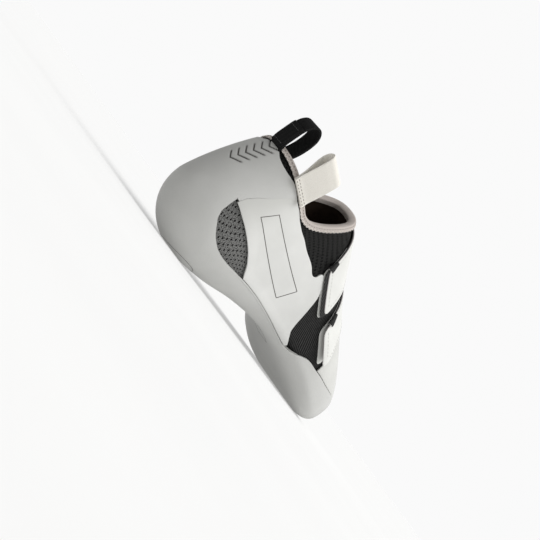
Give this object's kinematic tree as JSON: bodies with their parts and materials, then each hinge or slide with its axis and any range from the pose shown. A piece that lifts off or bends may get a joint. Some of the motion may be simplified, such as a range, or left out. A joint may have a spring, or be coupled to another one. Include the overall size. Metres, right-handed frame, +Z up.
{
  "type": "climbing shoe",
  "caption": "Low climbing shoe for the right foot with a moulded rubber sole and heel cup, a knit sock upper and hook-and-loop straps over the instep.",
  "frame": {"origin": "on the floor, under the middle of the shoe's box", "axes": "+X towards the toe, +Y towards the inner side of the foot, +Z up"},
  "size_m": [0.259, 0.1034, 0.1155],
  "materials": {
    "sole_rubber": "matt, faintly pebbled light grey",
    "sock_knit": "black knit with small holes",
    "footbed_felt": "brown felt",
    "panel_synthetic": "smooth light grey synthetic",
    "patch_rubber": "matt light grey",
    "binding_tape": "pinkish grey stitched tape",
    "strap_synthetic": "smooth light grey synthetic",
    "loop_webbing": "black webbing",
    "tab_cotton": "cream cotton tape"
  },
  "bodies": {
    "root": {"sole": "sole_rubber", "upper": "sock_knit", "insole": "footbed_felt", "panel_outer": "panel_synthetic", "panel_inner": "panel_synthetic", "toe_patch": "patch_rubber", "collar_binding": "binding_tape", "strap_upper": "strap_synthetic", "strap_lower": "strap_synthetic", "heel_loop": "loop_webbing", "pull_tab": "tab_cotton"}
  },
  "joints": []
}
